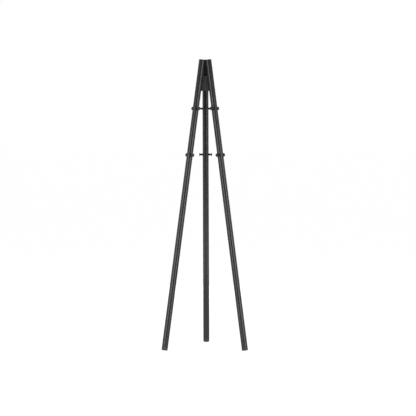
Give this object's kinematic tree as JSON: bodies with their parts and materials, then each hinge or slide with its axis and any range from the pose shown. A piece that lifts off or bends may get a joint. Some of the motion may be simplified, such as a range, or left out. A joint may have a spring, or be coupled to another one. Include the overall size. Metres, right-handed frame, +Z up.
{
  "type": "tripod coat stand",
  "caption": "Free-standing tripod coat stand of splayed round tube legs on a tapered hub, with level flared pegs through each leg for hanging coats.",
  "frame": {"origin": "on the floor, under the point that the three legs lean towards", "axes": "+Z up along the stand's axis, +Y towards the rear leg's foot, +X to the right as seen from the front, where the left and right legs are nearest"},
  "size_m": [0.5342, 0.4678, 1.8],
  "materials": {
    "leg_coat": "satin",
    "hub_coat": "satin",
    "peg_coat": "satin",
    "cap_plastic": "matte",
    "foot_plastic": "matte",
    "zinc_steel": "satin"
  },
  "bodies": {
    "root": {"hub": "hub_coat", "rear_leg_tube": "leg_coat", "rear_top_cap": "cap_plastic", "rear_foot": "foot_plastic", "rear_hub_bolts": "zinc_steel", "rear_leg_nuts": "zinc_steel", "left_leg_tube": "leg_coat", "left_top_cap": "cap_plastic", "left_foot": "foot_plastic", "left_hub_bolts": "zinc_steel", "left_leg_nuts": "zinc_steel", "right_leg_tube": "leg_coat", "right_top_cap": "cap_plastic", "right_foot": "foot_plastic", "right_hub_bolts": "zinc_steel", "right_leg_nuts": "zinc_steel", "rear_lower_peg_stud": "zinc_steel", "rear_upper_peg_stud": "zinc_steel", "left_lower_peg_stud": "zinc_steel", "left_upper_peg_stud": "zinc_steel", "right_lower_peg_stud": "zinc_steel", "right_upper_peg_stud": "zinc_steel", "rear_lower_peg_left_knob": "peg_coat", "rear_lower_peg_right_knob": "peg_coat", "rear_upper_peg_left_knob": "peg_coat", "rear_upper_peg_right_knob": "peg_coat", "left_lower_peg_left_knob": "peg_coat", "left_lower_peg_right_knob": "peg_coat", "left_upper_peg_left_knob": "peg_coat", "left_upper_peg_right_knob": "peg_coat", "right_lower_peg_left_knob": "peg_coat", "right_lower_peg_right_knob": "peg_coat", "right_upper_peg_left_knob": "peg_coat", "right_upper_peg_right_knob": "peg_coat"}
  },
  "joints": []
}
